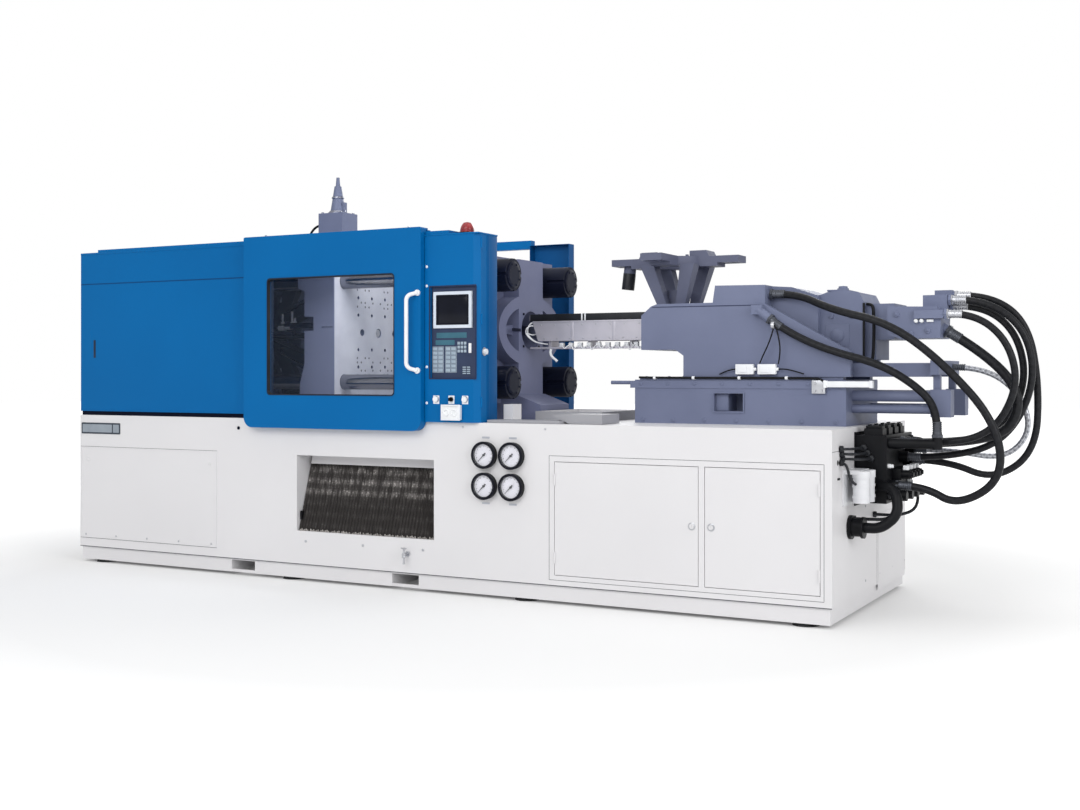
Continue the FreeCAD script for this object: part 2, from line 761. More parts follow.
def make_column():
    y0 = -(s.bed_width / 2 + s.column_front)
    x0, x1 = s.column_x, s.column_x + s.column_width
    depth = s.column_depth
    chamfer = s.column_chamfer
    base = extruded("column_body", "xy",
                    [(x0, y0), (x1 - chamfer, y0), (x1, y0 + chamfer), (x1, y0 + depth), (x0, y0 + depth)],
                    "bed_height", "column_top - bed_height")
    cap = box("column_cap", ("column_x", f"{column_front()} + 4", "column_top"), ("150", "120", "22"))
    recess = box("column_recess", ("console_x", f"{column_front()} - 1", "console_bottom"),
                 ("console_width", "console_recess + 1", "console_height"))
    socket = box("socket_body", ("column_x + 124", f"{column_front()} - 26", "bed_height + socket_rise"),
                 ("socket_width", "27", "socket_height"))
    sockets = [
        rod(f"socket_hole_{i}", "y", (f"column_x + 124 + {0.28 + 0.44 * i}*socket_width", f"{column_front()} - 27",
                                      "bed_height + socket_rise + socket_height/2"), "15", "14")
        for i in range(2)
    ]
    stems = [
        rod(f"{node}_hole", "y", (x, f"{column_front()} - 1", "button_z"), "stem_radius + pin_clearance", "17")
        for node, x in button_spots.items()
    ]
    keep("control_column", cut("column", fused("column_with_cap", base, cap, socket), recess, *sockets, *stems))


def make_console():
    y = f"{column_front()} + console_recess - panel_wall"
    plate = box("console_plate", ("console_x + 1", y, "console_bottom + 1"),
                ("console_width - 2", "panel_wall", "console_height - 2"))
    pads = []
    for bank in range(2):
        for column in range(2):
            for row in range(6):
                x = f"console_x + {10 + bank * 82 + column * 34}"
                pads.append(box(f"key_{bank}{column}{row}", (x, f"{y} - 2", f"console_bottom + {148 - row * 23}"), ("30", "2.5", "18")))
    for column in range(3):
        for row in range(3):
            x = f"console_x + {165 + column * 20}"
            pads.append(box(f"small_key_{column}{row}", (x, f"{y} - 2", f"console_bottom + {178 - row * 21}"), ("17", "2.5", "17")))
    for column in range(2):
        for row in range(4):
            x = f"console_x + {197 + column * 26}"
            pads.append(box(f"low_key_{column}{row}", (x, f"{y} - 2", f"console_bottom + {54 - row * 11}"), ("23", "2.5", "8")))
    keep("console_panel", fused("console", plate, *pads))
    bezel_y = f"{y} - 10"
    bezel = box("screen_bezel", ("console_x + 18", bezel_y, "console_bottom + 268"), ("240", "10", "196"))
    glass = box("screen_window", ("console_x + 44", f"{bezel_y} - 1", "console_bottom + 294"), ("188", "5", "144"))
    keep("screen_frame", cut("screen", bezel, glass))


def make_buttons():
    front = column_front()
    for node, x in button_spots.items():
        cap = rod(node + "_cap", "y", (x, f"{front} - 14", "button_z"), "button_radius + 4", "9")
        stem = rod(node + "_stem", "y", (x, f"{front} - 6", "button_z"), "stem_radius", "16")
        keep(node, fused(node + "_whole", cap, stem))
    key = rod("key_barrel", "y", ("column_x + 170", f"{front} - 10", "button_z"), "button_radius", "9.7")
    blade = box("key_blade", ("column_x + 168", f"{front} - 30", "button_z - 9"), ("4", "21", "18"))
    keep("mode_key", fused("key", key, blade))
    knob = rod("latch_knob", "x", ("column_x + column_width + 0.3", "-(bed_width/2 - 40)", "bed_height + latch_rise"), "15", "16")
    keep("column_latch", knob)


def make_beacon():
    x, y, z = "column_x + 218", "-(bed_width/2 - 60)", "column_top"
    base = rod("beacon_base", "z", (x, y, z), "44", "16")
    steps = [(38, 34, 20), (34, 24, 18), (24, 6, 14)]
    rises = [f"{z} + {16 + sum(step[2] for step in steps[:i])}" for i in range(len(steps))]
    dome = [cone(f"beacon_dome_{i}", "z", (x, y, rise), str(low), str(top), str(tall))
            for i, (rise, (low, top, tall)) in enumerate(zip(rises, steps))]
    keep("beacon", fused("beacon_lamp", base, *dome))


# ---------------------------------------------------------------- clamp

corners_yz = [(y, z) for y in (-1, 1) for z in (-1, 1)]


def bar_holes(name, x, length, clearance="bar_clearance"):
    return [
        rod(f"{name}_bar_hole_{i}", "x", (x, f"{y}*bar_y", f"axis_height + {z}*bar_z"), f"bar_radius + {clearance}", length)
        for i, (y, z) in enumerate(corners_yz)
    ]


def mould_holes(name, x, length):
    """Tapped holes for the mould, in a grid round the axis."""
    holes = []
    for i, across in enumerate((-1.5, -0.5, 0.5, 1.5)):
        for j, up in enumerate((-2, -1, 1, 2)):
            holes.append(rod(f"{name}_mould_hole_{i}{j}", "x", (x, f"{across}*mould_bolt_y", f"axis_height + {up}*mould_bolt_z"),
                             "mould_bolt_radius", length))
    return holes


def ellipse_block(name, half_width, half_height, x, length):
    """An oval block, its long axis across the machine."""
    oval = doc.addObject("Part::Ellipse", name + "_oval")
    oval.Placement = FreeCAD.Placement(vec(), crosswise)
    bind(oval, MajorRadius=half_width, MinorRadius=half_height, base_z="axis_height")
    pulled = doc.addObject("Part::Extrusion", name)
    pulled.Base = oval
    pulled.DirMode = "Custom"
    pulled.Dir = vec(1, 0, 0)
    pulled.Solid = True
    return bind(pulled, LengthFwd=length, base_x=x)


def make_fixed_platen():
    plate = slab_box("fixed_plate_block", "fixed_face_x", "axis_height - platen_half_height", "fixed_plate",
                     "2*platen_half_height", "platen_half_width")
    rib = slab_box("fixed_rib", "fixed_face_x", "axis_height - platen_half_height", "fixed_depth",
                   "2*platen_half_height - 14", "fixed_rib_half")
    dish = ellipse_block("fixed_ring", "ring_half_width", "ring_half_height", "fixed_face_x", "fixed_depth")
    hollow = ellipse_block("fixed_ring_hollow", "ring_half_width - ring_wall", "ring_half_height - ring_wall + 14",
                           "fixed_face_x + fixed_depth - ring_depth", "ring_depth + 1")
    ring = cut("fixed_ring_web", fused("fixed_ring_and_rib", rib, dish), hollow)
    hub = cone("fixed_hub", "x", ("fixed_face_x", "0", "axis_height"), "nozzle_mouth + 34", "nozzle_mouth + 14", "fixed_depth")
    webs = []
    for side in (-1, 1):
        y0, y1 = 96, s.ring_half_width - 20
        webs.append(extruded(f"fixed_web_{'near' if side < 0 else 'far'}", "yz",
                             [(side * y0, s.axis_height - 34), (side * y1, s.axis_height - 12),
                              (side * y1, s.axis_height + 12), (side * y0, s.axis_height + 34)],
                             "fixed_face_x", "fixed_depth - 40"))
    low = s.axis_height - s.platen_half_height
    foot = even_prism("fixed_foot", [(s.fixed_face_x + 20, s.bed_height), (s.fixed_face_x + 412, s.bed_height),
                                     (s.fixed_face_x + 407, s.bed_height + 84),
                                     (s.fixed_face_x + s.fixed_depth, low + s.fixed_foot_height),
                                     (s.fixed_face_x + 20, low + s.fixed_foot_height)], "platen_half_width - 280")
    blank = fused("fixed_blank", plate, ring, hub, foot, *webs)
    bore = rod("fixed_bore", "x", ("fixed_face_x - 1", "0", "axis_height"), "nozzle_hole", "fixed_depth + 2")
    mouth = cone("fixed_mouth", "x", ("fixed_face_x + 60", "0", "axis_height"), "nozzle_hole", "nozzle_mouth",
                 "fixed_depth - 59.9")
    seat = rod("fixed_seat", "x", ("fixed_face_x - 1", "0", "axis_height"), "locating_radius", "locating_depth + 1")
    keep("fixed_platen", cut("fixed", blank, bore, mouth, seat, *bar_holes("fixed", "fixed_face_x - 1", "fixed_depth + 2", "0"),
                             *mould_holes("fixed", "fixed_face_x - 1", "mould_bolt_depth + 1")))


def make_tie_bars():
    bars = [
        rod(f"tie_bar_{i}", "x", ("bar_start", f"{y}*bar_y", f"axis_height + {z}*bar_z"), "bar_radius",
            "fixed_face_x + fixed_plate + nut_length - 20.3 - bar_start")
        for i, (y, z) in enumerate(corners_yz)
    ]
    keep("tie_bars", group("bars", *bars))


def make_nuts():
    nuts = []
    for i, (y, z) in enumerate(corners_yz):
        start = ("fixed_face_x + fixed_plate", f"{y}*bar_y", f"axis_height + {z}*bar_z")
        nut = rod(f"nut_{i}_round", "x", start, "nut_radius", "nut_length")
        hole = rod(f"nut_{i}_hole", "x", ("fixed_face_x + fixed_plate - 1", *start[1:]), "bar_radius", "nut_length - 19")
        notches = []
        for k in range(4):
            angle = math.radians(90 * k)
            notches.append(rod(f"nut_{i}_notch_{k}", "x",
                               ("fixed_face_x + fixed_plate + 60", f"{y}*bar_y + nut_radius*{math.cos(angle):.6f}",
                                f"axis_height + {z}*bar_z + nut_radius*{math.sin(angle):.6f}"), "10", "nut_length"))
        nuts.append(cut(f"nut_{i}", nut, hole, *notches))
        back = rod(f"back_nut_{i}_round", "x", ("rear_platen_x - rear_nut_length", *start[1:]), "rear_nut_radius", "rear_nut_length")
        back_hole = rod(f"back_nut_{i}_hole", "x", ("rear_platen_x - rear_nut_length - 1", *start[1:]), "bar_radius",
                        "rear_nut_length + 2")
        nuts.append(cut(f"back_nut_{i}", back, back_hole))
    keep("tie_bar_nuts", group("nuts", *nuts))


def belt_normals(circles):
    """Angles at which the belt leaves each of the circles, given counter-clockwise."""
    normals = []
    for (ax, az, ar), (bx, bz, br) in zip(circles, circles[1:] + circles[:1]):
        run = math.atan2(bz - az, bx - ax)
        normals.append(run - math.pi / 2 + math.asin((ar - br) / math.hypot(bx - ax, bz - az)))
    return normals


def belt(circles, y0, y1):
    """A plate in the XZ plane: the belt round several circles, from y0 to y1."""
    area = sum(a[0] * b[1] - b[0] * a[1] for a, b in zip(circles, circles[1:] + circles[:1]))
    if area < 0:
        circles = circles[::-1]
    normals = belt_normals(circles)
    edges = []
    for i, (x, z, radius) in enumerate(circles):
        first = normals[i - 1]
        last = first + (normals[i] - first) % (2 * math.pi)

        def on(angle, x=x, z=z, radius=radius):
            return vec(x + radius * math.cos(angle), y0, z + radius * math.sin(angle))

        edges.append(Part.Arc(on(first), on((first + last) / 2), on(last)).toShape())
        edges.append(Part.LineSegment(on(last), on(last, *circles[(i + 1) % len(circles)])).toShape())
    return Part.Face(Part.Wire(edges)).extrude(vec(0, y1 - y0, 0))


def round_bar(x, z, radius, y0, y1):
    return Part.makeCylinder(radius, y1 - y0, vec(x, y0, z), vec(0, 1, 0))


def toggle_points():
    """Pins of the upper toggle at rest, folded, measured from the machine's axis."""
    angle = math.radians(s.fold_angle)
    elbow = (s.rear_pin_x + s.rear_link_length * math.cos(angle), s.rear_pin_half - s.rear_link_length * math.sin(angle))
    run = math.sqrt(s.front_link_length ** 2 - (s.front_pin_half - elbow[1]) ** 2)
    front = (elbow[0] + run, s.front_pin_half)
    along = (math.cos(angle), -math.sin(angle))
    across = (-math.sin(angle), -math.cos(angle))
    third = (s.rear_pin_x + along[0] * s.third_pin_along + across[0] * s.third_pin_across,
             s.rear_pin_half + along[1] * s.third_pin_along + across[1] * s.third_pin_across)
    head = (third[0] - math.sqrt(s.cross_link_length ** 2 - (third[1] - s.cross_pin_half) ** 2), s.cross_pin_half)
    return SimpleNamespace(rear=(s.rear_pin_x, s.rear_pin_half), elbow=elbow, front=front, third=third, head=head)


pins = toggle_points()
plane_front = s.front_link_half
plane_rear_in = plane_front + s.link_side_gap
plane_rear_out = plane_rear_in + s.rear_link_wall
plane_cross_in = plane_rear_out + s.link_side_gap
plane_cross_out = plane_cross_in + s.cross_link_wall


def mirrored(shape, upper):
    """Lift a piece drawn about the axis to its height, turned over for the lower toggle."""
    if not upper:
        shape = shape.mirror(vec(), vec(0, 0, 1))
    shape.translate(vec(0, 0, s.axis_height))
    return shape


def both_sides(maker):
    near = maker()
    return near.fuse(near.mirror(vec(), vec(0, 1, 0)))


def make_links(upper):
    tag = "upper" if upper else "lower"
    rear, elbow, third, front, head = pins.rear, pins.elbow, pins.third, pins.front, pins.head
    circles = [(*rear, s.eye_radius), (*third, s.small_eye + 4), (*elbow, s.elbow_radius)]
    plate = both_sides(lambda: belt(circles, plane_rear_in, plane_rear_out))
    hub = round_bar(*rear, s.eye_radius, -plane_rear_out, plane_rear_out)
    link = plate.fuse(hub).cut(round_bar(*rear, s.pin_radius + s.pin_clearance, -plane_rear_out - 1, plane_rear_out + 1))
    keep(f"rear_link_{tag}", made(f"rear_link_{tag}_solid", mirrored(link.removeSplitter(), upper)))

    bar = belt([(*elbow, s.elbow_radius), (*front, s.eye_radius)], -plane_front, plane_front)
    waist = [(elbow[0] + 0.25 * (front[0] - elbow[0]), elbow[1] + 0.25 * (front[1] - elbow[1]), 22),
             (elbow[0] + 0.75 * (front[0] - elbow[0]), elbow[1] + 0.75 * (front[1] - elbow[1]), 26)]
    for y0, y1 in ((-plane_front - 1, -plane_front + 22), (plane_front - 22, plane_front + 1)):
        bar = bar.cut(belt(waist, y0, y1))
    bar = bar.cut(round_bar(*front, s.pin_radius + s.pin_clearance, -plane_front - 1, plane_front + 1))
    keep(f"front_link_{tag}", made(f"front_link_{tag}_solid", mirrored(bar, upper)))

    small = both_sides(lambda: belt([(*head, s.small_eye), (*third, s.small_eye)], plane_cross_in, plane_cross_out)
                       .cut(round_bar(*head, s.small_pin + s.pin_clearance, plane_cross_in - 1, plane_cross_out + 1)))
    keep(f"cross_link_{tag}", made(f"cross_link_{tag}_solid", mirrored(small, upper)))


def lug_pair(name, x, z, radius, root_x, inner, outer, thick):
    """Two ears, one each side, from a platen at root_x to a pin at x, z off the axis, with the pin between them."""
    pieces = []
    for side in (-1, 1):
        y = inner if side > 0 else -outer
        ear = round_bar(x, s.axis_height + z, radius, y, y + thick)
        low, length = min(x, root_x), abs(root_x - x)
        block = Part.makeBox(length, thick, 2 * radius, vec(low, y, s.axis_height + z - radius))
        pieces += [ear, block]
    pin = round_bar(x, s.axis_height + z, s.pin_radius, -inner - 1, inner + 1)
    return made(name, pin.fuse(pieces).removeSplitter())


def make_rear_platen():
    plate = slab_box("rear_plate_block", "rear_platen_x", "axis_height - platen_half_height", "rear_platen_depth",
                     "2*platen_half_height", "platen_half_width")
    throat = slab_box("rear_throat", "rear_platen_x - 1", "axis_height - throat_half_height", "rear_platen_depth + 2",
                      "2*throat_half_height", "throat_half_width")
    slots = [
        box(f"rear_slot_{i}", ("rear_platen_x - 1", y, "axis_height - throat_slot_half"),
            ("rear_platen_depth + 2", plane_cross_in - plane_front, "2*throat_slot_half"))
        for i, y in enumerate((-plane_cross_in, plane_front))
    ]
    feet = [
        box(f"rear_foot_{i}", ("rear_platen_x + 10", y, "bed_height + rail_height"),
            ("rear_platen_depth - 20", "rail_width - 8", "axis_height - platen_half_height - bed_height - rail_height + 1"))
        for i, y in enumerate(("-rail_inner - rail_width + 4", "rail_inner + 4"))
    ]
    ears = [
        lug_pair(f"rear_ears_{tag}", s.rear_pin_x, sign * s.rear_pin_half, s.eye_radius,
                 s.rear_platen_x + s.rear_platen_depth - 20, plane_cross_in, plane_cross_in + s.lug_wall, s.lug_wall)
        for tag, sign in (("upper", 1), ("lower", -1))
    ]
    body = cut("rear_platen_block", fused("rear_platen_blank", plate, *feet), throat, *slots,
               *bar_holes("rear", "rear_platen_x - 1", "rear_platen_depth + 2", "0"))
    keep("rear_platen", fused("rear_platen_whole", body, *ears))


def make_moving_platen():
    face = s.moving_face_x
    back = face - s.moving_plate
    low, high = s.axis_height - s.platen_half_height, s.axis_height + s.platen_half_height
    boss_in = 250
    flank = even_prism("moving_profile", [
        (face, low), (face, high), (back - s.moving_boss, high), (back - s.moving_boss + 14, s.axis_height + boss_in + 8),
        (back, s.axis_height + boss_in - 6), (back, s.axis_height - boss_in + 60),
        (back - s.moving_boss + 26, s.axis_height - boss_in - 60), (back - s.moving_boss + 22, low)],
        "platen_half_width")
    ears = [
        lug_pair(f"moving_ears_{tag}", pins.front[0], sign * s.front_pin_half, s.eye_radius, back + 10,
                 plane_rear_in, plane_rear_out, s.rear_link_wall)
        for tag, sign in (("upper", 1), ("lower", -1))
    ]
    shoes = [
        box(f"moving_shoe_{i}", ("moving_face_x - moving_plate - 40", y,
                                 "axis_height - platen_half_height - shoe_height"),
            ("moving_plate + 30", "rail_width - 16", "shoe_height + 1"))
        for i, y in enumerate(("-rail_inner - rail_width + 8", "rail_inner + 8"))
    ]
    notches = [
        box(f"moving_notch_{i}", ("moving_face_x - moving_plate - 1", y, "axis_height + 6"), ("68", "160", "85"))
        for i, y in enumerate(("-platen_half_width - 1", "platen_half_width - 159"))
    ]
    centre = [
        rod(f"moving_hole_{i}", "x", ("moving_face_x - moving_plate - 90", y, "axis_height"), radius, "moving_plate + 100")
        for i, (y, radius) in enumerate((("-ejector_side", "20"), ("0", "ejector_hole"), ("ejector_side", "20")))
    ]
    grooves = [
        box(f"moving_side_slot_{i}", ("moving_face_x - 88", y, "axis_height + 20"), ("76", "9", "10"))
        for i, y in enumerate(("-platen_half_width - 1", "platen_half_width - 8"))
    ]
    keep("moving_platen", cut("moving", fused("moving_blank", flank, *ears, *shoes), *notches, *centre, *grooves,
                              *bar_holes("moving", "moving_face_x - moving_plate - moving_boss - 1",
                                         "moving_plate + moving_boss + 2"),
                              *mould_holes("moving", "moving_face_x - mould_bolt_depth", "mould_bolt_depth + 1")))


def make_crosshead():
    x, _ = pins.head
    axis = s.axis_height
    beam = Part.makeBox(2 * s.beam_half_length, 2 * s.beam_half_width, 2 * s.beam_half_height,
                        vec(x - s.beam_half_length, -s.beam_half_width, axis - s.beam_half_height))
    inner = plane_cross_out + s.link_side_gap
    outer = inner + 24
    pieces = []
    for y0, y1 in ((inner, outer), (-outer, -inner)):
        pieces.append(belt([(x, axis - s.cross_pin_half, s.small_eye), (x, axis + s.cross_pin_half, s.small_eye)], y0, y1))
    for side in (-1, 1):
        for up in (-1, 1):
            y0, y1 = (plane_cross_in, inner + 1) if side > 0 else (-inner - 1, -plane_cross_in)
            pieces.append(round_bar(x, axis + up * s.cross_pin_half, s.small_pin, y0, y1))
    piston = Part.makeCylinder(s.piston_rod, s.piston_rod_length, vec(x - s.piston_rod_length, 0, axis), vec(1, 0, 0))
    solid = beam.fuse(pieces + [piston])
    for side in (-1, 1):
        solid = solid.cut(Part.makeCylinder(s.guide_radius + s.pin_clearance, 2 * s.beam_half_length + 2,
                                            vec(x - s.beam_half_length - 1, side * s.guide_y, axis), vec(1, 0, 0)))
    keep("crosshead", made("crosshead_solid", solid.removeSplitter()))


def make_clamp_cylinder():
    flange = slab_box("clamp_flange", "flange_x", "axis_height - flange_half_height", "flange_wall",
                      "2*flange_half_height", "flange_half_width")
    window = [
        box(f"clamp_flange_corner_{i}", ("flange_x - 1", f"{y}*flange_half_width - {0 if y < 0 else 110}",
                                         f"axis_height + {z}*flange_half_height - {0 if z < 0 else 190}"),
            ("flange_wall + 2", "110", "190"))
        for i, (y, z) in enumerate(corners_yz)
    ]
    legs = [
        slab_box(f"clamp_leg_{tag}", "flange_x + flange_wall - 1", f"axis_height + {z}",
                 "rear_platen_x - flange_x - flange_wall + 1", "60", "120")
        for tag, z in (("upper", "flange_half_height - 65"), ("lower", "5 - flange_half_height"))
    ]
    tube = rod("clamp_tube", "x", ("cylinder_x", "0", "axis_height"), "cylinder_radius", "flange_x - cylinder_x + 1")
    collar = rod("clamp_collar", "x", ("flange_x - 60", "0", "axis_height"), "cylinder_radius + 30", "61")
    head = slab_box("clamp_head", "cylinder_x - 10", "axis_height - 110", "70", "220", "110")
    guides = [
        rod(f"clamp_guide_{i}", "x", ("flange_x + 1", f"{y}*guide_y", "axis_height"), "guide_radius", "guide_end - flange_x - 1")
        for i, y in enumerate((-1, 1))
    ]
    bore = rod("clamp_bore", "x", ("cylinder_x + 30", "0", "axis_height"), "cylinder_bore", "flange_x - cylinder_x - 30")
    gland = rod("clamp_gland", "x", ("flange_x - 1", "0", "axis_height"), "piston_rod + pin_clearance", "flange_wall + 2")
    keep("clamp_cylinder", fused("clamp_cylinder_whole", cut("clamp_cylinder_body", fused("clamp_cylinder_blank", flange, tube,
                                                                                          collar, head), bore, gland, *window),
                                 *legs, *guides))


def make_ejector():
    back = "moving_face_x - moving_plate"
    body = rod("ejector_tube", "x", (f"{back} - ejector_length", "0", "axis_height"), "ejector_radius", "ejector_length")
    foot = slab_box("ejector_foot", f"{back} - 26", "axis_height - 58", "26", "116", "58")
    bore = rod("ejector_bore", "x", (f"{back} - ejector_length + 14", "0", "axis_height"), "ejector_rod + pin_clearance",
               "ejector_length")
    keep("ejector_cylinder", cut("ejector_body", fused("ejector_blank", body, foot), bore))
    keep("ejector_rod", rod("ejector_bar", "x", (f"{back} - ejector_length + 15", "0", "axis_height"), "ejector_rod",
                            "moving_plate + ejector_length - 18"))


def make_safety_latch():
    """Tall latch cylinder on a bridge between the two gate rails."""
    x, y = 1480, 0
    z = s.cover_top
    bridge = box("latch_bridge", ("cover_length", "-(bed_width/2 - 34)", "cover_top - 40"), ("215", "bed_width - 90", "40"))
    block = box("latch_block", (x - 92, y - 80, "cover_top"), ("184", "160", "246"))
    neck = cone("latch_neck", "z", (x, y, z + 244), "50", "22", "176")
    tip = cone("latch_tip", "z", (x, y, z + 418), "15", "10", "58")
    side_box = box("latch_box", (x + 44, y - 16, z + 246), ("14", "32", "70"))
    keep("safety_latch", fused("latch", bridge, block, neck, tip, side_box))


# ---------------------------------------------------------------- injection unit


def make_slab():
    block = slab_box("slab_block", "slab_x", "bed_height", "slab_length", "slab_top - bed_height", "slab_half_width")
    rails = [
        box(f"slab_rail_{i}", ("slab_x + 20", y, "slab_top - 1"), ("slab_length - 40", "slab_rail_width", "slab_rail_height + 1"))
        for i, y in enumerate(("-slab_rail_inner - slab_rail_width", "slab_rail_inner"))
    ]
    stub = rod("slab_stub", "x", ("slab_x - 150", "-slab_half_width + 26", "slab_top - 16"), "10", "151")
    lid = slab_box("slab_lip", "slab_x - 26", "slab_top - 44", "slab_length + 26", "38", "slab_half_width + 4")
    shallow = box("slab_recess", ("slab_x + 448", "-slab_half_width - 4", "bed_height + 66"), ("72", "30", "94"))
    deep = box("slab_port", ("slab_x + 519", "-slab_half_width - 4", "bed_height + 68"), ("88", "150", "92"))
    keep("injection_slab", cut("slab", fused("slab_blank", block, *rails, stub, lid), shallow, deep))


def make_rear_guides():
    beams = []
    for i, y in enumerate(("-beam_y - beam_wall/2", "beam_y - beam_wall/2")):
        beams.append(box(f"guide_beam_{i}", ("slab_x + slab_length - 40", y, "beam_bottom - 20"),
                         ("beam_end_x - slab_x - slab_length + 41", "beam_wall", "beam_height + 20")))
    beams = [cut(f"guide_beam_cut_{i}", beam,
                 slab_box(f"guide_beam_seat_{i}", "slab_x", "slab_top - 60", "slab_length", "60", "slab_half_width"))
             for i, beam in enumerate(beams)]
    plate = slab_box("guide_plate", "beam_end_x", "beam_bottom - 10", "40", "beam_height + 22", "beam_y + 70")
    rams = []
    for i, y in enumerate(("-beam_y", "beam_y")):
        rams.append(rod(f"carriage_ram_{i}", "x", ("slab_x + slab_length", y, "slab_top - ram_drop"), "ram_radius", "ram_length"))
        rams.append(rod(f"carriage_ram_low_{i}", "x", ("slab_x + slab_length", y, "slab_top - ram_drop - 64"), "ram_radius - 5", "ram_length"))
        rams.append(box(f"ram_head_{i}", ("beam_end_x - 5", f"{y} - 42", "slab_top - 180"), ("96", "84", "134")))
        rams.append(box(f"ram_link_{i}", ("beam_end_x + 4", f"{y} - 20", "slab_top - 60"), ("32", "40", "beam_over_slab + 54")))
    keep("rear_guides", fused("guides", *beams, plate, *rams))


def carriage_outline(bottom, top, shoulder, neck, body, end):
    axis = s.axis_height
    return [(neck, axis - 124), (neck, axis + 58), (neck + 56, axis + 106), (neck + 91, shoulder), (neck + 404, shoulder), (neck + 417, top),
            (end, top - 4), (end, bottom), (body, bottom), (body, axis - 156), (body - 46, axis - 124)]


def make_carriage():
    bottom, top, shoulder = s.carriage_bottom, s.carriage_top, s.carriage_shoulder
    neck, body, end = s.carriage_neck_x, s.carriage_body_x, s.carriage_end_x
    main = even_prism("carriage_profile", carriage_outline(bottom, top, shoulder, neck, body, end), "carriage_half_width")
    cheek_points = [(end - 1, s.axis_height + 106), (s.cheek_end_x, s.axis_height - 142), (s.cheek_end_x, bottom), (end - 1, bottom)]
    cheeks = [extruded(f"carriage_cheek_{i}", "xz", cheek_points, y, "cheek_wall")
              for i, y in enumerate(("-carriage_half_width", "carriage_half_width - cheek_wall"))]
    barrel_hole = rod("carriage_barrel_hole", "x", ("carriage_neck_x - 1", "0", "axis_height"), "barrel_radius", "301")
    screw_hole = rod("carriage_screw_hole", "x", ("carriage_neck_x + 299", "0", "axis_height"), "screw_radius + 6", "80")
    cavity = slab_box("carriage_cavity", "carriage_body_x + 95", "axis_height - cavity_half", "320", "2*cavity_half", "cavity_half")
    rod_hole = rod("carriage_rod_hole", "x", ("carriage_end_x - 40", "0", "axis_height"), "injection_rod + pin_clearance", "60")
    throat = rod("carriage_throat", "z", ("hopper_x", "0", "axis_height"), "26", "200")
    fittings = [
        rod("top_fitting", "x", ("carriage_end_x - 1", "-235", "carriage_top - 50"), "hose/2 + 3", "25"),
        leaning_rod("side_fitting", (end + 44 - 90 * math.cos(math.radians(37)), -324,
                                     s.axis_height + 20 + 90 * math.sin(math.radians(37))), 37, "hose/2 + 4", "90"),
        box("side_fitting_block", ("carriage_end_x - 58", "-carriage_half_width - 44", "axis_height + 52"), ("56", "45", "46")),
    ]
    hollow = box("carriage_hollow_left", ("carriage_body_x + 25", "-carriage_half_width + 24", "carriage_bottom + 60"),
                 ("36", "30", "60"))
    keep("carriage", cut("carriage_whole", fused("carriage_blank", main, *cheeks, *fittings), barrel_hole, screw_hole, cavity, rod_hole,
                         throat, hollow))


def make_barrel():
    tube = rod("barrel_tube", "x", ("barrel_x", "0", "axis_height"), "barrel_radius", "carriage_neck_x + 299 - barrel_x")
    adapter = rod("barrel_adapter", "x", ("barrel_x - 50", "0", "axis_height"), "nozzle_hole", "51")
    nozzle = cone("barrel_nozzle", "x", ("nozzle_x", "0", "axis_height"), "9", "34", "barrel_x - 50 - nozzle_x")
    bore = rod("barrel_bore_hole", "x", ("barrel_x - 20", "0", "axis_height"), "barrel_bore", "carriage_neck_x + 330 - barrel_x")
    sprue = rod("barrel_sprue", "x", ("nozzle_x - 1", "0", "axis_height"), "3", "110")
    keep("barrel", cut("barrel_whole", fused("barrel_blank", tube, adapter, nozzle), bore, sprue))


def make_barrel_cover():
    x0, x1 = s.cover_start_x, s.carriage_neck_x
    z0, z1 = s.barrel_cover_bottom, s.barrel_cover_top
    outer = even_prism("barrel_cover_outer", [(x0 + 36, z0), (x1, z0), (x1, z1), (x0, z1)], "barrel_cover_half")
    strip = slab_box("barrel_strip", "cover_start_x - 30", "barrel_cover_top - 0.1",
                     "carriage_neck_x - cover_start_x + 30", "heater_strip_height", "barrel_cover_half - 22")
    inner = slab_box("barrel_cover_tunnel", "cover_start_x - 35", "barrel_cover_bottom - 1",
                     "carriage_neck_x - cover_start_x + 36", "barrel_cover_top - barrel_cover_bottom - sheet + 13", "barrel_cover_half - sheet")
    tray = slab_box("barrel_tray", "cover_start_x - 20", "barrel_cover_bottom - 44", "carriage_neck_x - cover_start_x + 20", "10",
                    "barrel_cover_half - 10")
    posts = [
        slab_box(f"barrel_post_{i}", x, "barrel_cover_bottom - 35", "14", "36", "barrel_cover_half - 30")
        for i, x in enumerate(("cover_start_x + 90", "cover_start_x + 340", "cover_start_x + 600"))
    ]
    keep("barrel_cover", fused("barrel_cover_whole", cut("barrel_cover_shell", fused("barrel_cover_blank", outer, strip), inner),
                               tray, *posts))


